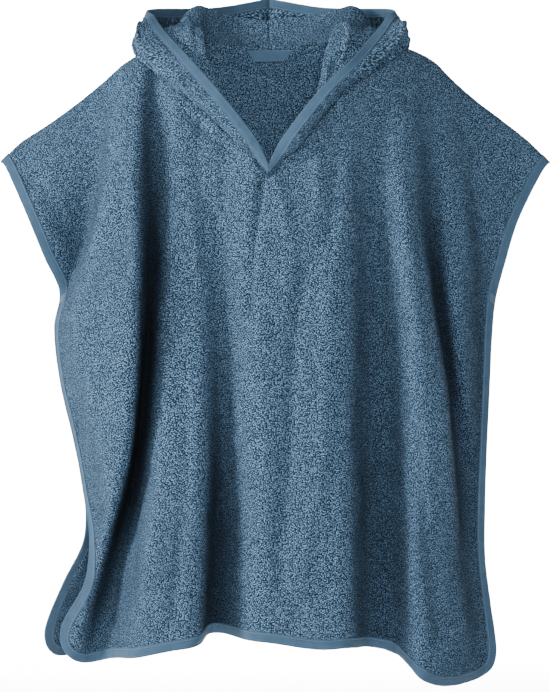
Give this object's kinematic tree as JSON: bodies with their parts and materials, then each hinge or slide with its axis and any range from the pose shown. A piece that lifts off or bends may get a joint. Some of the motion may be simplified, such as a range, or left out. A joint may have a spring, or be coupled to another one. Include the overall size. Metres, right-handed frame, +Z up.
{
  "type": "hooded bath poncho",
  "caption": "Child's hooded bath poncho in cotton terry, hanging open and hollow as worn, with bound edges, side slits, a rolled hood and a hanging loop.",
  "frame": {"origin": "middle of the neck at shoulder height, on the plane where the front and back panels meet; the wearer's shoulders carry the garment there", "axes": "+Z up, -Y the front of the garment, +X towards the wearer's left hand, which is the right side of the front view"},
  "size_m": [0.606, 0.2368, 0.7651],
  "materials": {
    "terry_body": "uncut terry loops, matte with a soft sheen at the edges",
    "terry_hood": "uncut terry loops, matte with a soft sheen at the edges",
    "edge_tape": "plain woven cotton tape, matte",
    "hood_tape": "plain woven cotton tape, matte",
    "loop_tape": "plain woven cotton tape, matte"
  },
  "bodies": {
    "root": {"front_panel": "terry_body", "front_binding": "edge_tape", "back_panel": "terry_body", "back_binding": "edge_tape", "hood_left": "terry_hood", "hood_binding_left": "hood_tape", "hood_right": "terry_hood", "hood_binding_right": "hood_tape", "hanging_loop": "loop_tape"}
  },
  "joints": []
}
